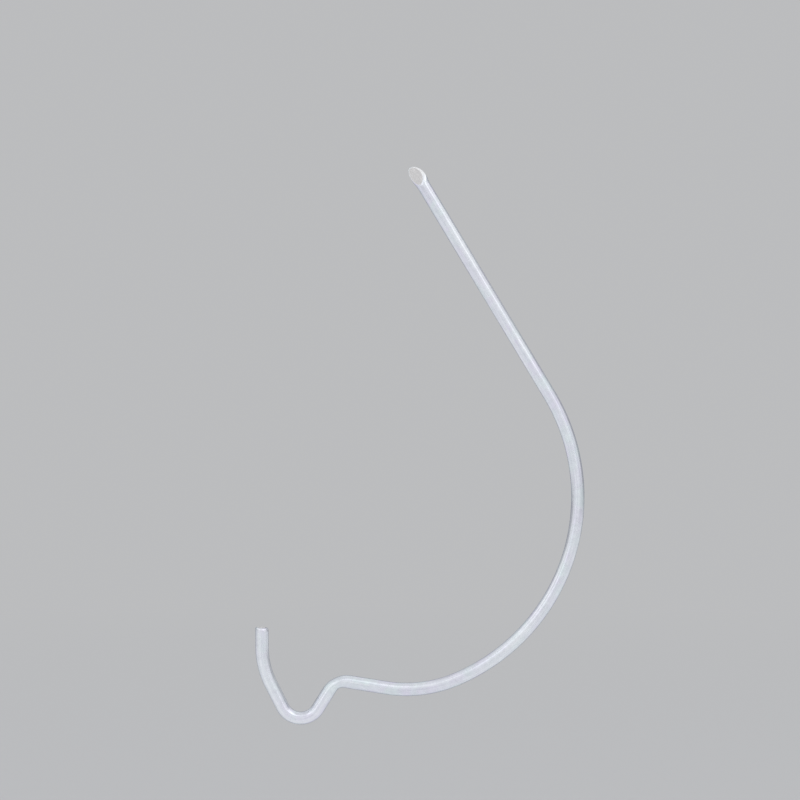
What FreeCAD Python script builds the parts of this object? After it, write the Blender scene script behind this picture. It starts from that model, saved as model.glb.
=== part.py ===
# Picture hook for plasterboard, bent from one length of zinc-plated steel wire.
# A pointed leg goes through the board and braces against its back, a wide bow turns behind it,
# a neck crosses the board, and a small open hook in front of the wall carries the picture.
# The wire lies in the YZ plane: X runs along the wall, Y into it and Z up.
# The origin is the top of the crest bend, on the wire's centreline, at the wall's front face.
import FreeCAD, Part

import math
import os

import Sketcher

NODE = "wire_hook"

# Driving dimensions, in the order that a wire former meets them: millimetres and degrees.
# A run is straight. A bend has its inside radius and the angle that it turns the wire through.
SIZES = {
    "wire_diameter": 2.5,
    "lip_length": 3.7,
    "lip_bend_radius": 14.5,
    "lip_bend_turn": 27.0,
    "upstand_length": 4.9,
    "saddle_radius": 2.6,
    "saddle_turn": 121.0,
    "drop_length": 3.9,
    "crest_radius": 2.6,
    "crest_turn": 67.0,
    "neck_length": 7.2,
    "heel_radius": 23.1,
    "heel_turn": 31.0,
    "bow_radius": 36.4,
    "bow_turn": 99.0,
    "leg_length": 51.2,
    "point_angle": 32.0,
    "point_edge_round": 0.12,
    "lip_edge_round": 0.25,
}

# The wire from the lip's cut end to the leg's tip: the crest alone bends the other way
ROUTE = ["lip", "lip_bend", "upstand", "saddle", "drop", "crest", "neck", "heel", "bow", "leg"]
RUNS = ["lip", "upstand", "drop", "neck", "leg"]
BACK_BEND = "crest"
QUARTER_TURN = math.pi / 2
LIP_HEADING = -QUARTER_TURN

# The sketcher's numbers for the start, end and centre of a curve, and for its own axes
START, END, CENTRE = range(1, 4)
HORIZONTAL_AXIS, VERTICAL_AXIS = range(-1, -3, -1)
ORIGIN = (HORIZONTAL_AXIS, START)

# The point's rounding keeps to a share of the tightest curve of its sloped face, at the apex
ROUNDING_SHARE = 0.9
HALF_WIRE = "sizes.wire_diameter / 2"
POINT_TURN = "sizes.point_angle * 1 deg"
APEX_CURVE = f"{HALF_WIRE} * sin({POINT_TURN}) * tan({POINT_TURN} / 2)"


def make_sheet(doc):
    """Spreadsheet of the driving dimensions, one aliased cell each."""
    sheet = doc.addObject("Spreadsheet::Sheet", "sizes")
    for row, (alias, value) in enumerate(SIZES.items(), start=1):
        sheet.set(f"A{row}", alias)
        sheet.set(f"B{row}", str(value))
        sheet.setAlias(f"B{row}", alias)
    doc.recompute()
    return sheet


def half_wire(sheet):
    """Radius of the wire. The leg's blank is also this much longer than the leg, for the point's cut."""
    return sheet.get("wire_diameter") / 2


def direction(heading):
    """Unit vector of a heading in the plane of the sketch."""
    return FreeCAD.Vector(math.cos(heading), math.sin(heading), 0)


def lay_route(sheet, start):
    """Centreline curves of the blank from a start point, and the highest point of the crest."""
    point = start
    heading = LIP_HEADING
    curves = []
    for name in ROUTE:
        if name in RUNS:
            spare = half_wire(sheet) if name == "leg" else 0
            end = point + direction(heading) * (sheet.get(f"{name}_length") + spare)
            curves.append(Part.LineSegment(point, end))
        else:
            side = -1 if name == BACK_BEND else 1
            radius = sheet.get(f"{name}_radius") + half_wire(sheet)
            centre = point + direction(heading + side * QUARTER_TURN) * radius
            first = heading - side * QUARTER_TURN
            last = first + side * math.radians(sheet.get(f"{name}_turn"))
            circle = Part.Circle(centre, FreeCAD.Vector(0, 0, 1), radius)
            curves.append(Part.ArcOfCircle(circle, min(first, last), max(first, last)))
            end = centre + direction(last) * radius
            heading = last + side * QUARTER_TURN
            if name == BACK_BEND:
                top = centre + direction(QUARTER_TURN) * radius
        point = end
    return curves, top


def add_dimension(sketch, name, expression, kind, *places):
    """Add a named dimension to a sketch and bind it to the sheet."""
    index = sketch.addConstraint(Sketcher.Constraint(kind, *places))
    sketch.renameConstraint(index, name)
    sketch.setExpression(f"Constraints.{name}", expression)


def path_ends(name):
    """Ends of a curve where the route comes in and goes out: arcs are drawn anticlockwise."""
    return (END, START) if name == BACK_BEND else (START, END)


def sketch_route(body, planes, sheet):
    """Sketch of the whole centreline, tangent from curve to curve, level at the origin."""
    sketch = body.newObject("Sketcher::SketchObject", "wire_route")
    sketch.AttachmentSupport = (planes["YZ_Plane"], [""])
    sketch.MapMode = "FlatFace"
    crest_top = lay_route(sheet, FreeCAD.Vector())[1]
    curves = lay_route(sheet, -crest_top)[0]
    sketch.addGeometry(curves, False)
    for before, after in zip(ROUTE, ROUTE[1:]):
        out_place = (ROUTE.index(before), path_ends(before)[1])
        in_place = (ROUTE.index(after), path_ends(after)[0])
        sketch.addConstraint(Sketcher.Constraint("Tangent", *out_place, *in_place))
    crest = ROUTE.index(BACK_BEND)
    sketch.addConstraint(Sketcher.Constraint("PointOnObject", crest, CENTRE, VERTICAL_AXIS))
    sketch.addConstraint(Sketcher.Constraint("PointOnObject", *ORIGIN, crest))
    sketch.addConstraint(Sketcher.Constraint("Vertical", ROUTE.index("lip")))
    for index, (name, curve) in enumerate(zip(ROUTE, curves)):
        if name in RUNS:
            spare = f" + {HALF_WIRE}" if name == "leg" else ""
            length = f"sizes.{name}_length{spare}"
            add_dimension(sketch, f"{name}_run", length, "Distance", index, curve.length())
        else:
            radius = f"sizes.{name}_radius + {HALF_WIRE}"
            turn = curve.LastParameter - curve.FirstParameter
            add_dimension(sketch, f"{name}_centre_radius", radius, "Radius", index, curve.Radius)
            add_dimension(sketch, f"{name}_angle", f"sizes.{name}_turn * 1 deg", "Angle", index, turn)
    return sketch


def sketch_section(body, route, sheet):
    """Round section of the wire, square to the lip's end."""
    sketch = body.newObject("Sketcher::SketchObject", "wire_section")
    sketch.AttachmentSupport = [(route, (f"Edge{ROUTE.index('lip') + 1}",))]
    sketch.MapMode = "NormalToEdge"
    circle = Part.Circle(FreeCAD.Vector(), FreeCAD.Vector(0, 0, 1), half_wire(sheet))
    sketch.addGeometry(circle, False)
    sketch.addConstraint(Sketcher.Constraint("Coincident", 0, CENTRE, *ORIGIN))
    diameter = sheet.get("wire_diameter")
    add_dimension(sketch, "section_diameter", "sizes.wire_diameter", "Diameter", 0, diameter)
    return sketch


def sketch_point(body, planes, route, sheet):
    """Triangle that the point's cut takes off the leg, seen along the wire's bending plane.

    Its X runs along the leg from the blank's end and its Y across the bending plane, so the slope
    starts at the back of the wire and faces the same side as the body's X.
    """
    leg_edge = f"Edge{ROUTE.index('leg') + 1}"
    tip_vertex = f"Vertex{len(route.Shape.Vertexes)}"
    sketch = body.newObject("Sketcher::SketchObject", "point_slope")
    sketch.AttachmentSupport = [(route, (tip_vertex,)), (route, (leg_edge,)), (planes["X_Axis"], ("",))]
    sketch.MapMode = "OXY"
    radius = half_wire(sheet)
    diameter = sheet.get("wire_diameter")
    angle = math.radians(sheet.get("point_angle"))
    apex = FreeCAD.Vector(-radius, -radius, 0)
    beyond = FreeCAD.Vector(radius, apex.y - diameter * math.tan(angle), 0)
    behind = FreeCAD.Vector(apex.x - (diameter - apex.y) / math.tan(angle), diameter, 0)
    corner = FreeCAD.Vector(beyond.x, behind.y, 0)
    slope, flank, front, mark = range(4)
    sketch.addGeometry(Part.LineSegment(beyond, behind), False)
    sketch.addGeometry(Part.LineSegment(behind, corner), False)
    sketch.addGeometry(Part.LineSegment(corner, beyond), False)
    sketch.addGeometry(Part.Point(apex), True)
    sketch.addConstraint(Sketcher.Constraint("Coincident", slope, END, flank, START))
    sketch.addConstraint(Sketcher.Constraint("Coincident", flank, END, front, START))
    sketch.addConstraint(Sketcher.Constraint("Coincident", front, END, slope, START))
    sketch.addConstraint(Sketcher.Constraint("Horizontal", flank))
    sketch.addConstraint(Sketcher.Constraint("Vertical", front))
    sketch.addConstraint(Sketcher.Constraint("PointOnObject", mark, START, slope))
    add_dimension(sketch, "cut_angle", POINT_TURN, "Angle", slope, END, flank, START, angle)
    add_dimension(sketch, "apex_back", HALF_WIRE, "DistanceX", mark, START, *ORIGIN, radius)
    add_dimension(sketch, "apex_depth", HALF_WIRE, "DistanceY", mark, START, *ORIGIN, radius)
    add_dimension(sketch, "cut_ahead", HALF_WIRE, "DistanceX", *ORIGIN, slope, START, radius)
    add_dimension(sketch, "cut_above", "sizes.wire_diameter", "DistanceY", *ORIGIN, slope, END, diameter)
    return sketch


def add_rounding(body, name, base, curve, radius):
    """Round the rim of a cut end, found by its curve: a circle at the lip, an ellipse at the point."""
    flat_faces = [face for face in base.Shape.Faces if isinstance(face.Surface, Part.Plane)]
    rims = [edge for face in flat_faces for edge in face.Edges if isinstance(edge.Curve, curve)]
    names = [f"Edge{number}" for number, edge in enumerate(base.Shape.Edges, start=1)
             if any(edge.isSame(rim) for rim in rims)]
    rounding = body.newObject("PartDesign::Fillet", name)
    rounding.Base = (base, names)
    rounding.setExpression("Radius", radius)
    return rounding


def make_hook(doc, sheet):
    """Body of the hook: the bent wire, its point and its broken edges."""
    body = doc.addObject("PartDesign::Body", NODE)
    planes = {feature.Role: feature for feature in body.Origin.OriginFeatures}
    route = sketch_route(body, planes, sheet)
    doc.recompute()
    section = sketch_section(body, route, sheet)
    wire = body.newObject("PartDesign::AdditivePipe", "bent_wire")
    wire.Profile = section
    wire.Spine = (route, [])
    doc.recompute()
    point = body.newObject("PartDesign::Pocket", "point_cut")
    point.Profile = sketch_point(body, planes, route, sheet)
    point.Type = "ThroughAll"
    point.Midplane = True
    doc.recompute()
    if not point.Shape.Volume < wire.Shape.Volume:
        raise RuntimeError("the point's cut takes nothing off the wire")
    rounded = add_rounding(body, "point_rim", point, Part.Ellipse,
                           f"min(sizes.point_edge_round; {ROUNDING_SHARE} * {APEX_CURVE})")
    doc.recompute()
    add_rounding(body, "lip_rim", rounded, Part.Circle, "sizes.lip_edge_round")
    doc.recompute()
    return body


def check_document(doc, body):
    """Stop if an object failed or the hook isn't one valid solid."""
    failed = [item.Name for item in doc.Objects if {"Invalid", "Error"} & set(item.State)]
    if failed:
        raise RuntimeError(f"failed objects: {failed}")
    if body.Shape.isNull() or not body.Shape.isValid() or len(body.Shape.Solids) != 1:
        raise RuntimeError("the hook is not one valid solid")


def main():
    """Build the document, check it and write the hook."""
    doc = FreeCAD.newDocument("picture_hook")
    sheet = make_sheet(doc)
    body = make_hook(doc, sheet)
    check_document(doc, body)
    os.makedirs("parts", exist_ok=True)
    body.Shape.exportStep(f"parts/{body.Label}.step")


main()
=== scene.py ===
"""Looks for a bent-wire picture hook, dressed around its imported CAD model.

The wire is swept by Geometry Nodes along the runs and bends that the CAD source follows, and its two
sheared ends are then closed ring by ring. The wire's sizes are in millimetres until they reach a mesh.
"""

import logging
import math
from dataclasses import dataclass, field
from enum import Enum
from typing import Any

import bmesh
import bpy
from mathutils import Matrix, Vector


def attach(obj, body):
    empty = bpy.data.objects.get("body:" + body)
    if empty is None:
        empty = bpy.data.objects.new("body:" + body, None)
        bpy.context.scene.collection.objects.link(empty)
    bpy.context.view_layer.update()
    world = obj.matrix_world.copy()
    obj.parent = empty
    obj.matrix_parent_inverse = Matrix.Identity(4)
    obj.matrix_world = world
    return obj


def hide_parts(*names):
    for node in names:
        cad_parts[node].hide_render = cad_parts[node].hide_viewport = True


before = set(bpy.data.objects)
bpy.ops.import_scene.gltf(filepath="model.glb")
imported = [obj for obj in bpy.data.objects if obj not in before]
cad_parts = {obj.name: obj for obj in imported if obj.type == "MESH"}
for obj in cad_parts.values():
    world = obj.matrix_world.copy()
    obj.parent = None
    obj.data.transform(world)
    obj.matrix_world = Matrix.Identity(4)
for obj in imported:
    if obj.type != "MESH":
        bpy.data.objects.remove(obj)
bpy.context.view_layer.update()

LOG = logging.getLogger("picture_hook")
MM = 0.001
NODE = "wire_hook"
BODY = "root"

# Attributes of the centreline, which the sweep hands on to the wire's mesh
CENTRE = "centre"
ACROSS = "across"
ALONG = "along"
PINCH = "pinch"

# Attributes of the wire's mesh that its finishes read
STRAIGHT = "straight"
BARE = "bare"
# How strongly a highlight is painted on the rims of the cut ends
PAINTED_HIGHLIGHT = "painted_highlight"

Colour = tuple[float, float, float]
Triple = tuple[float, float, float]


class Turn(Enum):
    """Way that a bend turns the wire, walking from the lip to the point, seen from the camera."""

    LEFT = 1
    RIGHT = -1


class Surface(Enum):
    """Material slots of the wire's mesh, in their order."""

    PLATED = 0
    SHEARED = 1


@dataclass(frozen=True)
class Run:
    """Straight stretch of the wire."""

    length: float


@dataclass(frozen=True)
class Bend:
    """Stretch that is bent to an arc round a former.

    The pinch is how far the former bites into the inside of the bend, as a share of the hardest bite.
    """

    inside_radius: float
    turn: float
    way: Turn = Turn.LEFT
    pinch: float = 0.0


Route = dict[str, Run | Bend]


@dataclass(frozen=True)
class Station:
    """One point of the wire's centreline.

    The place and heading are in the bending plane, with the first axis into the wall and the second up.
    """

    place: Vector
    heading: float
    along: float
    pinch: float = 0.0

    def centre(self) -> Vector:
        """Return the centre in the part's frame, in metres."""
        return Vector((0.0, self.place.x, self.place.y)) * MM

    def forward(self) -> Vector:
        """Return the unit direction of the walk in the part's frame."""
        return Vector((0.0, math.cos(self.heading), math.sin(self.heading)))

    def across(self) -> Vector:
        """Return the unit direction to the left of the walk in the part's frame."""
        return Vector((0.0, -math.sin(self.heading), math.cos(self.heading)))


def clamp(value: float) -> float:
    """Return a value that is held between 0 and 1."""
    return min(1.0, max(0.0, value))


@dataclass(frozen=True)
class RimRoll:
    """Stretch of a cut end's rim that is rolled over.

    It is widest at an angle round the wire, from the camera's side towards the left of the walk, and
    a higher tightness keeps it closer to that angle.
    """

    angle: float
    along: float
    across: float
    tightness: float

    def share(self, angle: float) -> float:
        """Return how much of the roll is left at another angle, in radians."""
        return (0.5 + 0.5 * math.cos(angle - math.radians(self.angle))) ** self.tightness


@dataclass(frozen=True)
class ShearedRim:
    """Rounding of a cut end's rim: rolled over where the blade enters, sharp where it comes out.

    The highlight strength is how brightly a highlight is painted on the rolls, from 0 to 1. The painted
    highlight begins where the shares of its rolls add up to shine_from, and is full shine_over above
    that.
    """

    sharp: float
    rolls: tuple[RimRoll, ...]
    highlight_strength: float
    shine_from: float = 0.55
    shine_over: float = 0.65

    def widths(self, angle: float) -> tuple[float, float]:
        """Give the rounding at one angle round the wire.

        Args:
            angle: Place round the wire, in radians.

        Returns:
            How far the rounding reaches along the wire and across the cut face.
        """
        along = self.sharp + sum(roll.along * roll.share(angle) for roll in self.rolls)
        across = self.sharp + sum(roll.across * roll.share(angle) for roll in self.rolls)
        return along, across

    def painted_highlight(self, angle: float) -> float:
        """Return how strongly a highlight is painted on the rim at one angle round the wire, in radians.
        """
        rolled = sum(roll.share(angle) for roll in self.rolls)
        return self.highlight_strength * clamp((rolled - self.shine_from) / self.shine_over)


@dataclass(frozen=True)
class CutEnd:
    """Sheared end of the wire.

    The slope is the angle between the cut and the wire. The lean says which way the cut falls away:
    an angle round the wire, from the camera's side towards the left of the walk. The twist makes it
    fall to the left on the camera's side and to the right behind. The reach is how far from the end
    the plain sweep stops. The cutter's jaws pinch the wire, which flares sideways: the flare begins
    and becomes full at two distances from the end.
    """

    slope: float
    lean: float
    twist: float
    rim: ShearedRim
    reach: float
    flare: float
    flare_start: float
    flare_full: float

    def depth(self, x: float, b: float, radius: float) -> float:
        """Give the cut's depth over one place in the section.

        Args:
            x: Place towards the camera's side.
            b: Place towards the left of the walk.
            radius: The wire's radius.

        Returns:
            How far below the wire's end the cut lies.
        """
        lean = math.radians(self.lean)
        down = x * math.cos(lean) + b * math.sin(lean) + radius
        return down / math.tan(math.radians(self.slope)) + self.twist * x * b / radius

    def pinched(self, x: float, b: float, out: float) -> tuple[float, float]:
        """Flatten and widen a place in the section.

        Args:
            x: Place towards the camera's side.
            b: Place towards the left of the walk.
            out: Distance past the wire's end, negative inside it.

        Returns:
            The two places after the jaws have pinched the wire.
        """
        share = clamp((out + self.flare_start) / (self.flare_start - self.flare_full))
        share = self.flare * share * share * (3 - 2 * share)
        return x * (1 - share / 2), b * (1 + share)


class NodeSheet:
    """Small helper that fills a node tree."""

    def __init__(self, tree: bpy.types.NodeTree) -> None:
        """Keep the shader or geometry tree to fill."""
        self.tree = tree

    def add(self, kind: str, values: dict[str, Any] | None = None, **settings: Any) -> bpy.types.Node:
        """Add a node.

        Args:
            kind: Blender's name for the type of node.
            values: Plain values or sockets for the node's inputs, by the input's name.
            settings: Properties of the node, set before its inputs.

        Returns:
            The new node.
        """
        node = self.tree.nodes.new(kind)
        for name, value in settings.items():
            setattr(node, name, value)
        for name, value in (values or {}).items():
            self.feed(node, name, value)
        return node

    def feed(self, node: bpy.types.Node, name: str, value: Any) -> None:
        """Set or link one input of a node.

        Args:
            node: Node that takes the value.
            name: Name of the input, or name and number where several share it, as in Value.1.
            value: Plain value, or the socket to link from.
        """
        stem, dot, number = name.partition(".")
        found = [socket for socket in node.inputs if socket.enabled and socket.name == stem]
        socket = found[int(number) if dot else 0]
        if isinstance(value, bpy.types.NodeSocket):
            self.tree.links.new(value, socket)
        else:
            socket.default_value = value

    def out(self, node: bpy.types.Node, name: str) -> bpy.types.NodeSocket:
        """Return a node's output by name, among those in use."""
        return next(socket for socket in node.outputs if socket.enabled and socket.name == name)

    def maths(self, operation: str, *values: Any) -> bpy.types.NodeSocket:
        """Add a sum on numbers and return its result."""
        inputs = {f"Value.{place}": value for place, value in enumerate(values)}
        return self.add("ShaderNodeMath", inputs, operation=operation).outputs[0]

    def vector_maths(self, operation: str, *values: Any) -> bpy.types.NodeSocket:
        """Add a sum on vectors and return its vector result."""
        inputs = {f"Vector.{place}": value for place, value in enumerate(values)}
        return self.add("ShaderNodeVectorMath", inputs, operation=operation).outputs["Vector"]

    def mix_colour(self, share: Any, first: Any, second: Any) -> bpy.types.NodeSocket:
        """Add a mix of two colours and return its result."""
        node = self.add("ShaderNodeMix", {"Factor": share, "A": first, "B": second}, data_type="RGBA")
        return self.out(node, "Result")

    def spread(self, value: Any, low: float, high: float,
               start: Any = 0.0, end: Any = 1.0) -> bpy.types.NodeSocket:
        """Add a clamped map of one range of values, start to end, onto another and return its result."""
        inputs = {"Value": value, "From Min": start, "From Max": end, "To Min": low, "To Max": high}
        return self.add("ShaderNodeMapRange", inputs, clamp=True).outputs["Result"]

    def attribute(self, name: str, output: str) -> bpy.types.NodeSocket:
        """Add a reading of one of the mesh's attributes and return an output of it."""
        return self.add("ShaderNodeAttribute", None, attribute_name=name).outputs[output]


def rgba(colour: Colour) -> tuple[float, float, float, float]:
    """Return an opaque colour with four parts."""
    return (*colour, 1.0)


def blank_material(name: str) -> tuple[bpy.types.Material, NodeSheet]:
    """Start a material.

    Args:
        name: The material's name.

    Returns:
        The material, and the sheet of its nodes with nothing on it.
    """
    material = bpy.data.materials.new(name)
    material.use_nodes = True
    material.node_tree.nodes.clear()
    return material, NodeSheet(material.node_tree)


def wire_place(sheet: NodeSheet) -> bpy.types.NodeSocket:
    """Return a socket with the place on the straightened wire, in millimetres."""
    return sheet.vector_maths("MULTIPLY", sheet.attribute(STRAIGHT, "Vector"), (1 / MM,) * 3)


@dataclass(frozen=True)
class Noise:
    """Character of a noise pattern."""

    detail: float
    roughness: float
    distortion: float = 0.0

    def pattern(self, sheet: NodeSheet, place: Any, scale: Any) -> bpy.types.NodeSocket:
        """Add the noise to a sheet.

        Args:
            sheet: Sheet of a shader group.
            place: Socket with the place that the noise is read at.
            scale: Socket with the number of its waves in a millimetre.

        Returns:
            The noise's value.
        """
        node = sheet.add("ShaderNodeTexNoise", {
            "Vector": place, "Scale": scale, "Detail": self.detail, "Roughness": self.roughness,
            "Distortion": self.distortion})
        return node.outputs[0]


@dataclass(frozen=True)
class Lines:
    """Lines along one direction.

    The fineness is how many broad lines there are in a millimetre, and the stretch is how fast the
    pattern changes to the camera's side, to the left of the walk and along the wire.
    """

    fineness: float
    stretch: Triple


@dataclass(frozen=True)
class Clouds:
    """Soft clouds: the number of them in a millimetre, and how gently they come and go."""

    number: float
    softness: float


@dataclass
class SurfaceEffects:
    """Shader node groups that the wire's finishes share.

    The lines are broad ones with finer ones among them, and the haze is one cloudy noise.
    """

    broad: Noise = Noise(detail=2.0, roughness=0.55)
    fine: Noise = Noise(detail=3.0, roughness=0.6)
    cloud: Noise = Noise(detail=3.0, roughness=0.55, distortion=0.3)
    fine_ratio: float = 3.7
    broad_share: float = 0.6
    fine_share: float = 0.4
    line_range: tuple[float, float] = (0.32, 0.68)
    cloud_middle: float = 0.5
    lines: bpy.types.NodeTree = field(init=False)
    haze: bpy.types.NodeTree = field(init=False)

    def __post_init__(self) -> None:
        """Build both groups once."""
        self.lines = self._drawn_lines()
        self.haze = self._grey_haze()

    def drawn(self, sheet: NodeSheet, place: Any, lines: Lines) -> bpy.types.NodeSocket:
        """Place drawn lines in a material.

        Args:
            sheet: The material's sheet.
            place: Socket with the place on the straightened wire, in millimetres.
            lines: How fine the lines are and which way they run.

        Returns:
            Lines from 0 to 1.
        """
        values = {"Place": place, "Fineness": lines.fineness, "Stretch": lines.stretch}
        return sheet.add("ShaderNodeGroup", values, node_tree=self.lines).outputs["Lines"]

    def clouded(self, sheet: NodeSheet, place: Any, clouds: Clouds) -> bpy.types.NodeSocket:
        """Place a haze in a material.

        Args:
            sheet: The material's sheet.
            place: Socket with the place on the straightened wire, in millimetres.
            clouds: How many clouds there are and how soft they are.

        Returns:
            Haze from 0 to 1.
        """
        values = {"Place": place, "Size": clouds.number, "Softness": clouds.softness}
        return sheet.add("ShaderNodeGroup", values, node_tree=self.haze).outputs["Haze"]

    @staticmethod
    def _new_group(name: str, inputs: dict[str, str], output: str) -> tuple[NodeSheet, Any, Any]:
        """Start a group with named sockets.

        Args:
            name: Name of the group.
            inputs: Type of each input, by its name.
            output: Name of the group's one value.

        Returns:
            The sheet, the group's inputs and the group's output node.
        """
        tree = bpy.data.node_groups.new(name, "ShaderNodeTree")
        for label, kind in inputs.items():
            tree.interface.new_socket(label, in_out="INPUT", socket_type=kind)
        tree.interface.new_socket(output, in_out="OUTPUT", socket_type="NodeSocketFloat")
        sheet = NodeSheet(tree)
        return sheet, sheet.add("NodeGroupInput").outputs, sheet.add("NodeGroupOutput")

    def _drawn_lines(self) -> bpy.types.NodeTree:
        """Make the fine lines that a die or a blade leaves along one direction.

        Returns:
            Group whose Lines go from 0 to 1.
        """
        sheet, given, result = self._new_group("drawn_lines", {
            "Place": "NodeSocketVector",
            "Fineness": "NodeSocketFloat",
            "Stretch": "NodeSocketVector",
        }, "Lines")
        drawn = sheet.vector_maths("MULTIPLY", given["Place"], given["Stretch"])
        broad = self.broad.pattern(sheet, drawn, given["Fineness"])
        fineness = sheet.maths("MULTIPLY", given["Fineness"], self.fine_ratio)
        fine = sheet.maths("MULTIPLY", self.fine.pattern(sheet, drawn, fineness), self.fine_share)
        both = sheet.maths("MULTIPLY_ADD", broad, self.broad_share, fine)
        sheet.feed(result, "Lines", sheet.spread(both, 0.0, 1.0, *self.line_range))
        return sheet.tree

    def _grey_haze(self) -> bpy.types.NodeTree:
        """Make the soft clouds of a thin plated or oxidised skin.

        Returns:
            Group whose Haze goes from 0 to 1.
        """
        sheet, given, result = self._new_group("grey_haze", {
            "Place": "NodeSocketVector",
            "Size": "NodeSocketFloat",
            "Softness": "NodeSocketFloat",
        }, "Haze")
        cloud = self.cloud.pattern(sheet, given["Place"], given["Size"])
        low = sheet.maths("SUBTRACT", self.cloud_middle, given["Softness"])
        high = sheet.maths("ADD", self.cloud_middle, given["Softness"])
        sheet.feed(result, "Haze", sheet.spread(cloud, 0.0, 1.0, low, high))
        return sheet.tree


@dataclass(frozen=True)
class ZincPlating:
    """Bright zinc plating on drawn wire, with the faint tints of a clear passivation.

    The plating is dull where its lines and its mottle wear it, lifted to near white on the rolled rims
    of the cut ends as a painted highlight, and frayed into crumbs where it ends at a cut.
    """

    name: str = "zinc_plating"
    white: Colour = (0.89, 0.915, 0.945)
    lavender: Colour = (0.74, 0.71, 0.86)
    green_grey: Colour = (0.70, 0.80, 0.82)
    dull: Colour = (0.54, 0.56, 0.62)
    # Near-white colour of the painted highlight on the rolled rims of the cut ends
    highlight_white: Colour = (0.965, 0.97, 0.98)
    steel: Colour = (0.67, 0.66, 0.662)
    edge: Colour = (0.30, 0.31, 0.35)
    lines: Lines = Lines(2.2, (1.0, 1.0, 0.012))
    bands: Lines = Lines(0.85, (1.0, 1.0, 0.045))
    haze: Clouds = Clouds(0.30, 0.14)
    mottle: Clouds = Clouds(1.0, 0.26)
    crumbs: Clouds = Clouds(3.5, 0.25)
    line_wear: float = 0.46
    mottle_wear: float = 0.36
    crumb_share: float = 0.5
    bare_range: tuple[float, float] = (1.08, 1.32)
    line_polish: float = 0.5
    smooth: float = 0.20
    rough: float = 0.35
    line_height: float = 0.008
    line_strength: float = 0.25

    def material(self, effects: SurfaceEffects) -> bpy.types.Material:
        """Make the material.

        Args:
            effects: Node groups that the finishes share.

        Returns:
            The finished material.
        """
        material, sheet = blank_material(self.name)
        place = wire_place(sheet)
        lines = effects.drawn(sheet, place, self.lines)
        bands = effects.drawn(sheet, place, self.bands)
        haze = effects.clouded(sheet, place, self.haze)
        tinted = sheet.mix_colour(haze, rgba(self.lavender), rgba(self.green_grey))
        banded = sheet.mix_colour(bands, tinted, rgba(self.white))
        mottle = effects.clouded(sheet, place, self.mottle)
        half = self.mottle_wear / 2
        lined = sheet.spread(lines, self.line_wear - half, -half)
        worn = sheet.maths("MULTIPLY_ADD", mottle, self.mottle_wear, lined)
        drawn = sheet.mix_colour(worn, banded, rgba(self.dull))
        # Painted highlight: near white is mixed into the rolled rims of the cut ends, where the light
        # catches them
        rolled = sheet.mix_colour(sheet.attribute(PAINTED_HIGHLIGHT, "Fac"), drawn, rgba(self.highlight_white))
        crumbs = effects.clouded(sheet, place, self.crumbs)
        frayed = sheet.maths("MULTIPLY_ADD", crumbs, self.crumb_share, sheet.attribute(BARE, "Fac"))
        stripped = sheet.spread(frayed, 0.0, 1.0, *self.bare_range)
        colour = sheet.mix_colour(stripped, rolled, rgba(self.steel))
        grain = sheet.maths("MULTIPLY_ADD", lines, -self.line_polish, haze)
        bump = sheet.add("ShaderNodeBump", {
            "Strength": self.line_strength, "Distance": self.line_height * MM, "Height": lines})
        shader = sheet.add("ShaderNodeBsdfPrincipled", {
            "Base Color": colour, "Metallic": 1.0, "Normal": bump.outputs["Normal"],
            "Specular Tint": rgba(self.edge),
            "Roughness": sheet.spread(grain, self.smooth, self.rough, -self.line_polish, 1.0)})
        sheet.add("ShaderNodeOutputMaterial", {"Surface": shader.outputs["BSDF"]})
        return material


@dataclass(frozen=True)
class ShearedSteel:
    """Matte face that the shear leaves across the wire, scored along the blade's way."""

    name: str = "sheared_steel"
    bright: Colour = (0.79, 0.78, 0.782)
    grey: Colour = (0.66, 0.65, 0.652)
    score: Colour = (0.52, 0.512, 0.515)
    lines: Lines = Lines(3.6, (0.10, 1.0, 0.06))
    haze: Clouds = Clouds(1.3, 0.25)
    score_share: float = 0.9
    smooth: float = 0.42
    rough: float = 0.62
    line_height: float = 0.02
    line_strength: float = 0.7

    def material(self, effects: SurfaceEffects) -> bpy.types.Material:
        """Make the material.

        Args:
            effects: Node groups that the finishes share.

        Returns:
            The finished material.
        """
        material, sheet = blank_material(self.name)
        place = wire_place(sheet)
        lines = effects.drawn(sheet, place, self.lines)
        haze = effects.clouded(sheet, place, self.haze)
        clouded = sheet.mix_colour(haze, rgba(self.bright), rgba(self.grey))
        scored = sheet.spread(lines, self.score_share, 0.0)
        colour = sheet.mix_colour(scored, clouded, rgba(self.score))
        bump = sheet.add("ShaderNodeBump", {
            "Strength": self.line_strength, "Distance": self.line_height * MM, "Height": lines})
        shader = sheet.add("ShaderNodeBsdfPrincipled", {
            "Base Color": colour, "Metallic": 1.0, "Normal": bump.outputs["Normal"],
            "Roughness": sheet.spread(lines, self.smooth, self.rough)})
        sheet.add("ShaderNodeOutputMaterial", {"Surface": shader.outputs["BSDF"]})
        return material


def hook_route() -> Route:
    """Return the wire's runs and bends by name, from the lip's cut end to the leg's tip."""
    return {
        "lip": Run(3.7),
        "lip_bend": Bend(14.5, 27.0),
        "upstand": Run(4.9),
        "saddle": Bend(2.6, 121.0, pinch=0.3),
        "drop": Run(3.9),
        "crest": Bend(2.6, 67.0, Turn.RIGHT, pinch=1.0),
        "neck": Run(7.2),
        "heel": Bend(23.1, 31.0),
        "bow": Bend(36.4, 99.0),
        "leg": Run(51.2),
    }


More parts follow.
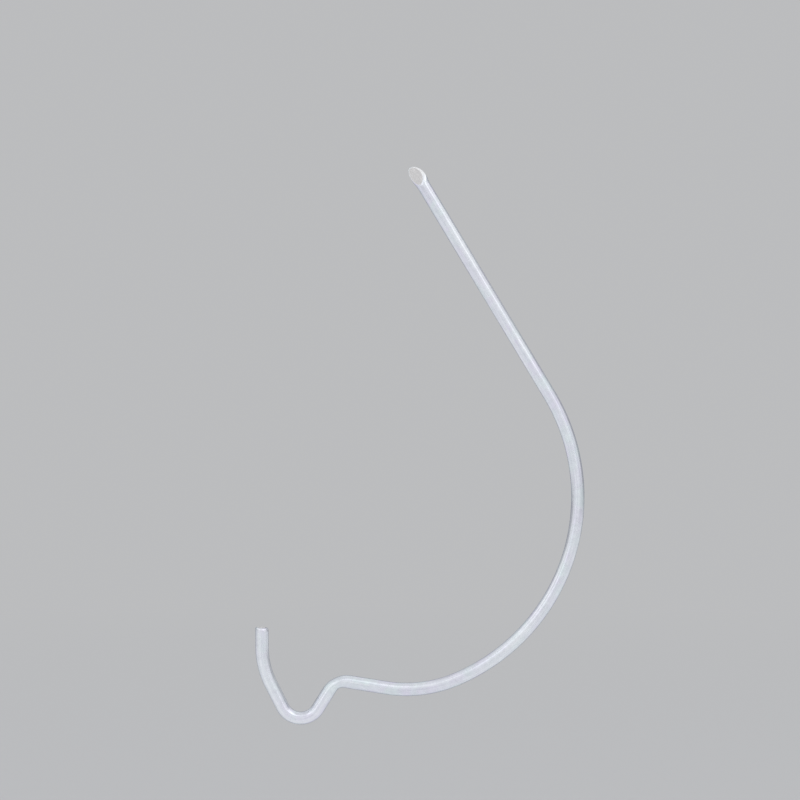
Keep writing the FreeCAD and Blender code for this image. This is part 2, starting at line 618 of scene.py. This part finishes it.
@dataclass
class BentWire:
    """The picture hook's one piece: a zinc-plated wire, bent in a plane and sheared at both ends.

    In a pinched bend the former bites into the inside, flattens the outside a little, and makes the
    wire swell sideways. The bite is hardest at the middle of the bend, and fades to both sides over
    bite_share of its length.
    """

    name: str = "bent_wire"
    diameter: float = 2.5
    route: Route = field(default_factory=hook_route)
    level_bend: str = "crest"
    start_heading: float = -90.0
    sides: int = 64
    station_gap: float = 0.45
    bend_step: float = 3.0
    inner_bite: float = 0.26
    outer_flat: float = 0.10
    side_swell: float = 0.08
    bite_power: float = 1.5
    bite_share: float = 0.30
    rim_rings: int = 10
    face_rings: int = 10
    wall_gap: float = 0.30
    fewest_walls: int = 2
    ring_slack: float = 0.1
    lip_end: CutEnd = CutEnd(
        slope=87.0, lean=90.0, twist=0.0,
        rim=ShearedRim(sharp=0.20, highlight_strength=0.1, rolls=(
            RimRoll(angle=90.0, along=0.45, across=0.35, tightness=1.5),
            RimRoll(angle=0.0, along=0.22, across=0.28, tightness=2.0))),
        reach=1.6, flare=0.015, flare_start=1.5, flare_full=0.5)
    point_end: CutEnd = CutEnd(
        slope=30.0, lean=7.0, twist=0.36,
        rim=ShearedRim(sharp=0.06, highlight_strength=1.0, rolls=(
            RimRoll(angle=-82.0, along=0.78, across=0.46, tightness=2.2),
            RimRoll(angle=-150.0, along=0.78, across=0.24, tightness=3.6))),
        reach=5.4, flare=0.15, flare_start=4.9, flare_full=3.05)

    @property
    def radius(self) -> float:
        """Return the wire's radius."""
        return self.diameter / 2

    def stations(self) -> list[Station]:
        """Walk the route and mark the centreline.

        Returns:
            Stations from the lip's end to the leg's tip, with the crest's top at the origin.
        """
        place = Vector((0.0, 0.0))
        heading = math.radians(self.start_heading)
        along = 0.0
        marks: list[Station] = []
        bites: list[Triple] = []
        level = Vector((0.0, 0.0))
        for name, stretch in self.route.items():
            if isinstance(stretch, Run):
                steps = max(1, math.ceil(stretch.length / self.station_gap))
                ahead = Vector((math.cos(heading), math.sin(heading)))
                for step in range(steps):
                    gone = stretch.length * step / steps
                    marks.append(Station(place + ahead * gone, heading, along + gone))
                place = place + ahead * stretch.length
                along += stretch.length
                continue
            side = stretch.way.value
            radius = stretch.inside_radius + self.radius
            turn = math.radians(stretch.turn)
            length = radius * turn
            steps = max(math.ceil(length / self.station_gap), math.ceil(stretch.turn / self.bend_step))
            out = heading - side * math.pi / 2
            middle = place - Vector((math.cos(out), math.sin(out))) * radius
            for step in range(steps):
                gone = turn * step / steps
                spoke = Vector((math.cos(out + side * gone), math.sin(out + side * gone)))
                here = middle + spoke * radius
                marks.append(Station(here, heading + side * gone, along + radius * gone))
            if name == self.level_bend:
                level = middle + Vector((0.0, radius))
            bites.append((along + length / 2, length * self.bite_share, side * stretch.pinch))
            place = middle + Vector((math.cos(out + side * turn), math.sin(out + side * turn))) * radius
            heading += side * turn
            along += length
        marks.append(Station(place, heading, along))
        return [Station(mark.place - level, mark.heading, mark.along, self._bite(mark.along, bites))
                for mark in marks]

    @staticmethod
    def _bite(along: float, bites: list[Triple]) -> float:
        """Sum the former's bite at one place.

        Args:
            along: Place along the wire.
            bites: Middle, half width and signed strength of each bend's bite.

        Returns:
            Signed bite: its sign says which side of the walk is the inside.
        """
        return sum(strength * math.exp(-((along - middle) / width) ** 2)
                   for middle, width, strength in bites)

    def centreline(self, stations: list[Station]) -> bpy.types.Object:
        """Make the centreline that the sweep follows.

        Args:
            stations: Points of the route that the sweep covers.

        Returns:
            Object of single edges whose points carry the sweep's attributes.
        """
        mesh = bpy.data.meshes.new("wire_centreline")
        edges = [(index, index + 1) for index in range(len(stations) - 1)]
        mesh.from_pydata([station.centre() for station in stations], edges, [])
        vectors = {CENTRE: [station.centre() for station in stations],
                   ACROSS: [station.across() for station in stations]}
        for label, values in vectors.items():
            layer = mesh.attributes.new(label, "FLOAT_VECTOR", "POINT")
            layer.data.foreach_set("vector", [part for value in values for part in value])
        numbers = {ALONG: [station.along * MM for station in stations],
                   PINCH: [station.pinch for station in stations]}
        for label, values in numbers.items():
            layer = mesh.attributes.new(label, "FLOAT", "POINT")
            layer.data.foreach_set("value", values)
        line = bpy.data.objects.new("wire_centreline", mesh)
        bpy.context.scene.collection.objects.link(line)
        return line

    @staticmethod
    def sweep_tree() -> bpy.types.NodeTree:
        """Build the tree that sweeps a round section along a centreline and lets the former bite.

        Returns:
            Geometry tree with named inputs for its sizes.
        """
        tree = bpy.data.node_groups.new("wire_sweep", "GeometryNodeTree")
        tree.interface.new_socket("Centreline", in_out="INPUT", socket_type="NodeSocketGeometry")
        for label in ("Wire Radius", "Inner Bite", "Outer Flat", "Side Swell", "Bite Power"):
            tree.interface.new_socket(label, in_out="INPUT", socket_type="NodeSocketFloat")
        tree.interface.new_socket("Sides", in_out="INPUT", socket_type="NodeSocketInt")
        tree.interface.new_socket("Finish", in_out="INPUT", socket_type="NodeSocketMaterial")
        tree.interface.new_socket("Wire", in_out="OUTPUT", socket_type="NodeSocketGeometry")
        sheet = NodeSheet(tree)
        given = sheet.add("NodeGroupInput").outputs
        radius = given["Wire Radius"]
        curve = sheet.add("GeometryNodeMeshToCurve", {"Mesh": given["Centreline"]})
        ring = sheet.add("GeometryNodeCurvePrimitiveCircle", {
            "Resolution": given["Sides"], "Radius": radius})
        tube = sheet.add("GeometryNodeCurveToMesh", {
            "Curve": curve.outputs["Curve"], "Profile Curve": ring.outputs["Curve"]})

        def carried(label: str, kind: str) -> bpy.types.NodeSocket:
            """Return an attribute that the tube carries from its centreline."""
            node = sheet.add("GeometryNodeInputNamedAttribute", {"Name": label}, data_type=kind)
            return sheet.out(node, "Attribute")

        def bulge(share: bpy.types.NodeSocket) -> bpy.types.NodeSocket:
            """Return how far a place is into one side of the bend, from 0 at the middle to 1."""
            return sheet.maths("POWER", sheet.maths("MAXIMUM", share, 0.0), given["Bite Power"])

        across = carried(ACROSS, "FLOAT_VECTOR")
        pinch = carried(PINCH, "FLOAT")
        place = sheet.add("GeometryNodeInputPosition").outputs["Position"]
        spoke = sheet.vector_maths("SUBTRACT", place, carried(CENTRE, "FLOAT_VECTOR"))
        sideways = sheet.add("ShaderNodeSeparateXYZ", {"Vector": spoke}).outputs["X"]
        dot = sheet.add("ShaderNodeVectorMath", {"Vector.0": spoke, "Vector.1": across},
                        operation="DOT_PRODUCT")
        leftwards = dot.outputs["Value"]
        inward = sheet.maths("MULTIPLY", leftwards, sheet.maths("SIGN", pinch))
        inside = sheet.maths("DIVIDE", inward, radius)
        outside = sheet.maths("MULTIPLY", inside, -1.0)
        bitten = sheet.maths("MULTIPLY", bulge(inside), given["Inner Bite"])
        flattened = sheet.maths("MULTIPLY", bulge(outside), given["Outer Flat"])
        inwards = sheet.maths("MULTIPLY", sheet.maths("SUBTRACT", flattened, bitten), pinch)
        slide = sheet.add("ShaderNodeVectorMath", {"Vector": across, "Scale": inwards}, operation="SCALE")
        swell = sheet.maths("DIVIDE", given["Side Swell"], radius)
        swollen = sheet.maths("MULTIPLY", sheet.maths("ABSOLUTE", pinch), swell)
        outwards = sheet.add("ShaderNodeCombineXYZ", {"X": sheet.maths("MULTIPLY", sideways, swollen)})
        shift = sheet.vector_maths("ADD", slide.outputs["Vector"], outwards.outputs["Vector"])
        bent = sheet.add("GeometryNodeSetPosition", {"Geometry": tube.outputs["Mesh"], "Offset": shift})
        unrolled = sheet.add("ShaderNodeCombineXYZ", {
            "X": sideways, "Y": leftwards, "Z": carried(ALONG, "FLOAT")})
        marked = sheet.add("GeometryNodeStoreNamedAttribute", {
            "Geometry": bent.outputs["Geometry"], "Name": STRAIGHT, "Value": unrolled.outputs["Vector"],
        }, data_type="FLOAT_VECTOR", domain="POINT")
        smooth = sheet.add("GeometryNodeSetShadeSmooth", {"Geometry": marked.outputs["Geometry"]})
        plain = sheet.add("GeometryNodeRealizeInstances", {"Geometry": smooth.outputs["Geometry"]})
        dressed = sheet.add("GeometryNodeSetMaterial", {
            "Geometry": plain.outputs["Geometry"], "Material": given["Finish"]})
        sheet.add("NodeGroupOutput", {"Wire": dressed.outputs["Geometry"]})
        return tree

    def sweep(self, stations: list[Station], finish: bpy.types.Material) -> bpy.types.Mesh:
        """Sweep the section along the route.

        Args:
            stations: Points of the route that the sweep covers.
            finish: Material of the tube.

        Returns:
            Open tube as a plain mesh.
        """
        line = self.centreline(stations)
        modifier = line.modifiers.new("sweep", "NODES")
        modifier.node_group = self.sweep_tree()
        sizes = {"Wire Radius": self.radius * MM, "Inner Bite": self.inner_bite * MM,
                 "Outer Flat": self.outer_flat * MM, "Side Swell": self.side_swell * MM,
                 "Bite Power": self.bite_power, "Sides": self.sides, "Finish": finish}
        for item in modifier.node_group.interface.items_tree:
            if item.in_out == "INPUT" and item.name in sizes:
                modifier[item.identifier] = sizes[item.name]
        graph = bpy.context.evaluated_depsgraph_get()
        mesh = bpy.data.meshes.new_from_object(line.evaluated_get(graph))
        line.modifiers.remove(modifier)
        bpy.data.objects.remove(line)
        return mesh

    def close_end(self, shape: bmesh.types.BMesh, cut: CutEnd, station: Station, outward: int) -> None:
        """Close one end of the tube: its wall, the rounded rim and the cut face.

        Args:
            shape: Tube to close.
            cut: Shape of the end.
            station: End of the route.
            outward: 1 where the walk leaves the wire, -1 where it enters it.
        """
        straight = shape.verts.layers.float_vector[STRAIGHT]
        bare = shape.verts.layers.float[BARE]
        painted_highlight = shape.verts.layers.float[PAINTED_HIGHLIGHT]

        def angle_of(vert: bmesh.types.BMVert) -> float:
            """Return a point's angle round the wire."""
            return math.atan2(vert[straight].y, vert[straight].x)

        def from_end(vert: bmesh.types.BMVert) -> float:
            """Return how far a point is from the end of the route, in metres."""
            return abs(vert[straight].z - station.along * MM)

        def place(x: float, b: float, out: float, stripped: float = 0.0,
                  shine: float = 0.0) -> bmesh.types.BMVert:
            """Add a point.

            Args:
                x: Place in the section towards the camera's side.
                b: Place in the section towards the left of the walk.
                out: Distance past the end of the route.
                stripped: How bare of plating the point is.
                shine: How strongly a highlight is painted on the point.
            """
            thin, wide = cut.pinched(x, b, out)
            spot = Vector((thin, 0.0, 0.0)) + station.across() * wide + axis * out
            vert = shape.verts.new(station.centre() + spot * MM)
            vert[straight] = Vector((x, b, station.along + out * outward)) * MM
            vert[bare] = stripped
            vert[painted_highlight] = shine
            return vert

        def join(lower: list[bmesh.types.BMVert], upper: list[bmesh.types.BMVert],
                 surface: Surface) -> None:
            """Add the faces between two rings.

            Args:
                lower: Ring nearer to the tube.
                upper: Ring nearer to the middle of the cut.
                surface: What the faces are.
            """
            count = len(lower)
            for index in range(count):
                after = (index + 1) % count
                face = shape.faces.new((lower[index], lower[after], upper[after], upper[index]))
                face.smooth = True
                face.material_index = surface.value

        def rim_place(angle: float, x: float, b: float, share: float) -> Triple:
            """Round the rim.

            Args:
                angle: Place round the wire, in radians.
                x: Place of the unrounded rim towards the camera's side.
                b: Place of the unrounded rim towards the left of the walk.
                share: Way over the rounding, from 0 at the wall to 1 at the cut face.

            Returns:
                The two places in the section and the distance past the end of the route.
            """
            down, over = cut.rim.widths(angle)
            inset = 1 - over / self.radius
            top = -cut.depth(x, b, self.radius)
            inner = -cut.depth(x * inset, b * inset, self.radius)
            wall, corner, flat = (1 - share) ** 2, 2 * share * (1 - share), share ** 2
            size = wall + corner + flat * inset
            return x * size, b * size, wall * (top - down) + corner * top + flat * inner

        open_verts = {vert for edge in shape.edges if edge.is_boundary for vert in edge.verts}
        limit = min(from_end(vert) for vert in open_verts) + self.ring_slack * MM
        ring = sorted((vert for vert in open_verts if from_end(vert) < limit), key=angle_of)
        axis = station.forward() * outward
        first = (ring[0][straight].z / MM - station.along) * outward
        spokes = [(angle, self.radius * math.cos(angle), self.radius * math.sin(angle))
                  for angle in map(angle_of, ring)]
        starts = [rim_place(angle, x, b, 0.0) for angle, x, b in spokes]
        longest = max(out for _, _, out in starts) - first
        walls = max(self.fewest_walls, math.ceil(longest / self.wall_gap))
        rings = [ring]
        for step in range(1, walls + 1):
            share = step / walls
            rings.append([place(x, b, first + (out - first) * share) for x, b, out in starts])
        for step in range(1, self.rim_rings + 1):
            share = step / self.rim_rings
            # The rim rings carry the painted highlight, strongest on the rolls
            rings.append([place(*rim_place(angle, x, b, share), share, cut.rim.painted_highlight(angle))
                          for angle, x, b in spokes])
        for lower, upper in zip(rings, rings[1:]):
            join(lower, upper, Surface.PLATED)
        edge = [rim_place(angle, x, b, 1.0) for angle, x, b in spokes]
        inside = rings[-1]
        for step in range(1, self.face_rings):
            share = 1 - step / self.face_rings
            nested = []
            for x, b, _ in edge:
                down = cut.depth(x * share, b * share, self.radius)
                nested.append(place(x * share, b * share, -down, 1.0))
            join(inside, nested, Surface.SHEARED)
            inside = nested
        middle = place(0.0, 0.0, -cut.depth(0.0, 0.0, self.radius), 1.0)
        for index, vert in enumerate(inside):
            face = shape.faces.new((vert, inside[(index + 1) % len(inside)], middle))
            face.smooth = True
            face.material_index = Surface.SHEARED.value

    def build(self, effects: SurfaceEffects) -> bpy.types.Object:
        """Make the whole wire.

        Args:
            effects: Node groups that the finishes share.

        Returns:
            The dressed object, at the origin.
        """
        plating = ZincPlating().material(effects)
        sheared = ShearedSteel().material(effects)
        stations = self.stations()
        lip, tip = stations[0], stations[-1]
        swept = [station for station in stations
                 if self.lip_end.reach <= station.along <= tip.along - self.point_end.reach]
        mesh = self.sweep(swept, plating)
        mesh.name = self.name
        mesh.materials.clear()
        for finish in (plating, sheared):
            mesh.materials.append(finish)
        shape = bmesh.new()
        shape.from_mesh(mesh)
        for label in (BARE, PAINTED_HIGHLIGHT):
            shape.verts.layers.float.new(label)
        self.close_end(shape, self.lip_end, lip, -1)
        self.close_end(shape, self.point_end, tip, 1)
        bmesh.ops.recalc_face_normals(shape, faces=shape.faces[:])
        shape.to_mesh(mesh)
        shape.free()
        wire = bpy.data.objects.new(self.name, mesh)
        bpy.context.scene.collection.objects.link(wire)
        return wire


@dataclass(frozen=True)
class Lamp:
    """Soft rectangular lamp that faces a point or straight up, with its sizes in metres."""

    name: str
    place: Triple
    width: float
    height: float
    power: float
    faces_up: bool = False

    def build(self, aim: Vector) -> bpy.types.Object:
        """Hang the lamp.

        Args:
            aim: Point that the lamp faces, unless it faces up.

        Returns:
            The lamp's object.
        """
        data = bpy.data.lights.new(self.name, "AREA")
        data.shape = "RECTANGLE"
        data.size = self.width
        data.size_y = self.height
        data.energy = self.power
        lamp = bpy.data.objects.new(self.name, data)
        lamp.location = self.place
        lamp.rotation_mode = "QUATERNION"
        facing = Vector((0.0, 0.0, 1.0)) if self.faces_up else aim - Vector(self.place)
        lamp.rotation_quaternion = facing.to_track_quat("-Z", "Y")
        lamp.visible_camera = False
        bpy.context.scene.collection.objects.link(lamp)
        return lamp


@dataclass
class Studio:
    """Pale stage round the hook, with soft lamps and the camera square to the bent wire.

    Sizes are in metres, apart from the lens and the sensor, and the width and the centre of the
    camera's view in the bending plane, which are in millimetres.
    """

    backdrop: Colour = (0.50, 0.505, 0.515)
    floor_colour: Colour = (0.54, 0.545, 0.555)
    floor_level: float = -0.040
    floor_radius: float = 3.0
    floor_sides: int = 96
    fade_start: float = 0.1
    fade_end: float = 0.5
    lens: float = 85.0
    sensor: float = 36.0
    view_width: float = 152.4
    view_centre: tuple[float, float] = (10.32, 53.65)
    near: float = 0.01
    far: float = 20.0
    aim: Triple = (0.0, 0.014, 0.045)
    lamps: tuple[Lamp, ...] = (
        Lamp("front_lamp", (1.20, 0.00, 0.70), 2.4, 1.6, 4.9),
        Lamp("right_lamp", (0.45, 0.90, 0.60), 1.4, 1.4, 2.2),
        Lamp("left_lamp", (0.60, -1.00, 0.45), 1.4, 1.4, 2.2),
        Lamp("top_lamp", (0.10, 0.25, 1.15), 1.8, 1.8, 3.6),
        Lamp("upper_left_lamp", (-0.15, -0.95, 0.85), 1.2, 1.2, 1.5),
        Lamp("back_lamp", (-1.20, 0.10, 0.70), 2.4, 1.6, 4.4),
        Lamp("low_lamp", (0.62, 0.00, -0.036), 2.0, 1.2, 2.7, faces_up=True),
        Lamp("low_back_lamp", (-0.70, 0.00, -0.036), 2.0, 1.2, 2.2, faces_up=True),
    )

    def build(self) -> None:
        """Set the world, the floor, the lamps and the camera."""
        bpy.context.scene.view_settings.view_transform = "Standard"
        self._world()
        self._floor()
        for lamp in self.lamps:
            lamp.build(Vector(self.aim))
        self._camera()

    @staticmethod
    def _seen(sheet: NodeSheet) -> bpy.types.NodeSocket:
        """Pick the rays that see the background: the camera's, and those of metal and glass.

        Args:
            sheet: Sheet of the floor's material.

        Returns:
            1 for those rays, and 0 for others.
        """
        path = sheet.add("ShaderNodeLightPath").outputs
        seen = sheet.maths("MAXIMUM", path["Is Camera Ray"], path["Is Glossy Ray"])
        return sheet.maths("MAXIMUM", seen, path["Is Transmission Ray"])

    def _world(self) -> None:
        """Make the world one pale colour, which also fills the shadows."""
        world = bpy.data.worlds.new("pale_room")
        world.use_nodes = True
        world.node_tree.nodes.clear()
        sheet = NodeSheet(world.node_tree)
        sky = sheet.add("ShaderNodeBackground", {"Color": rgba(self.backdrop), "Strength": 1.0})
        sheet.add("ShaderNodeOutputWorld", {"Surface": sky.outputs["Background"]})
        bpy.context.scene.world = world

    def _floor(self) -> None:
        """Lay a wide round floor that fades into the backdrop."""
        mesh = bpy.data.meshes.new("pale_floor")
        shape = bmesh.new()
        bmesh.ops.create_circle(shape, cap_ends=True, segments=self.floor_sides, radius=self.floor_radius)
        shape.to_mesh(mesh)
        shape.free()
        material, sheet = blank_material("pale_floor")
        place = sheet.add("ShaderNodeTexCoord").outputs["Object"]
        away = sheet.add("ShaderNodeVectorMath", {"Vector": place}, operation="LENGTH").outputs["Value"]
        matt = sheet.add("ShaderNodeBsdfDiffuse", {"Color": rgba(self.floor_colour)})
        glow = sheet.add("ShaderNodeEmission", {"Color": rgba(self.backdrop), "Strength": 1.0})
        fade = sheet.spread(away, 0.0, 1.0, self.fade_start, self.fade_end)
        mix = sheet.add("ShaderNodeMixShader", {
            "Fac": sheet.maths("MULTIPLY", fade, self._seen(sheet)),
            "Shader.0": matt.outputs["BSDF"], "Shader.1": glow.outputs["Emission"]})
        sheet.add("ShaderNodeOutputMaterial", {"Surface": mix.outputs["Shader"]})
        mesh.materials.append(material)
        floor = bpy.data.objects.new("pale_floor", mesh)
        floor.location = (0.0, 0.0, self.floor_level)
        bpy.context.scene.collection.objects.link(floor)

    def _camera(self) -> None:
        """Stand the camera square to the bending plane, with the photograph's framing."""
        data = bpy.data.cameras.new("camera")
        data.type = "PERSP"
        data.lens = self.lens
        data.sensor_width = self.sensor
        data.clip_start = self.near
        data.clip_end = self.far
        camera = bpy.data.objects.new("camera", data)
        away = self.view_width * MM * self.lens / self.sensor
        across, up = self.view_centre
        camera.location = (away, across * MM, up * MM)
        camera.rotation_euler = (math.pi / 2, 0.0, math.pi / 2)
        bpy.context.scene.collection.objects.link(camera)
        bpy.context.scene.camera = camera


def main() -> None:
    """Build the hook and its stage, and tie the hook to the CAD model."""
    logging.basicConfig(level=logging.INFO, format="%(name)s: %(message)s")
    wire = BentWire().build(SurfaceEffects())
    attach(wire, BODY)
    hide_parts(NODE)
    LOG.info("%s: %d faces on body %s", wire.name, len(wire.data.polygons), BODY)
    Studio().build()


if __name__ == "__main__":
    main()
